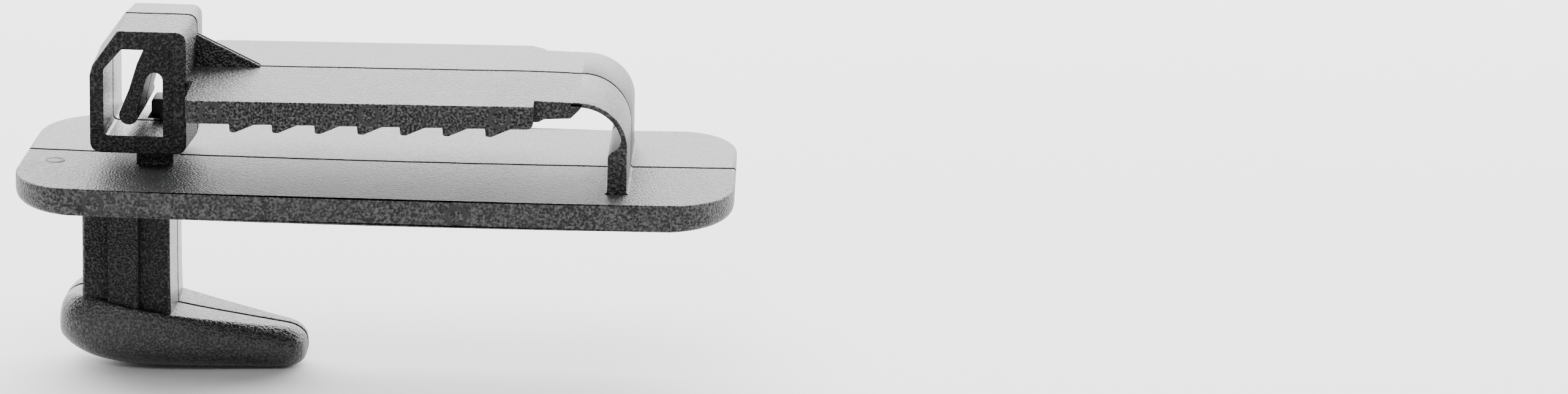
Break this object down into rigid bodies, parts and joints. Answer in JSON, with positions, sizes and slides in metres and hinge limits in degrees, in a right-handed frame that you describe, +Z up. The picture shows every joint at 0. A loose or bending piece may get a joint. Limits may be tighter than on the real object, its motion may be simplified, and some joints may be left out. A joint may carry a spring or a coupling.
{
  "type": "hook-in strap clamp",
  "caption": "Moulded plastic strap clamp: a plate with a hook foot below, and a hinged toothed strap above that closes with a sprung latch box.",
  "frame": {"origin": "middle of the base plate's underside, the face that seats on the panel", "axes": "+X along the plate from the latch box towards the hinge, +Y across the plate along the mould's opening direction, +Z up, away from the hook foot"},
  "size_m": [0.066, 0.0276, 0.0335],
  "materials": {
    "plate": "black nylon, fine spark-eroded grain",
    "hook": "black nylon, fine spark-eroded grain",
    "latch": "black nylon, fine spark-eroded grain",
    "strap": "black nylon, fine spark-eroded grain",
    "hinge": "black nylon, fine spark-eroded grain"
  },
  "bodies": {
    "base": {"base_plate": "plate", "shank_heel": "hook", "shank_rib": "hook", "shank_toe": "hook", "hook_foot": "hook", "latch_stem": "latch", "catch_head": "latch", "hinge_post": "hinge"},
    "arm": {"latch_box": "latch", "pawl_anchor": "latch", "gusset": "strap", "strap_bar": "strap", "rack_heel": "strap", "tooth_1": "strap", "tooth_2": "strap", "tooth_3": "strap", "tooth_4": "strap", "tooth_5": "strap", "tooth_6": "strap", "tooth_7": "strap", "strap_neck": "strap", "hinge_web": "hinge"},
    "pawl": {"pawl_leg": "latch"}
  },
  "joints": [
    {"name": "arm_hinge", "type": "hinge", "parent": "base", "child": "arm", "pos_m": [0.0219, 0, 0.01025], "axis": [0, 1, 0], "range_deg": [0, 100], "deforming": ["hinge_web"]},
    {"name": "pawl_flex", "type": "hinge", "parent": "arm", "child": "pawl", "pos_m": [-0.02145, 0, 0.01235], "axis": [0, 1, 0], "range_deg": [0, 12], "stiffness_Nm_per_rad": 0.02}
  ]
}
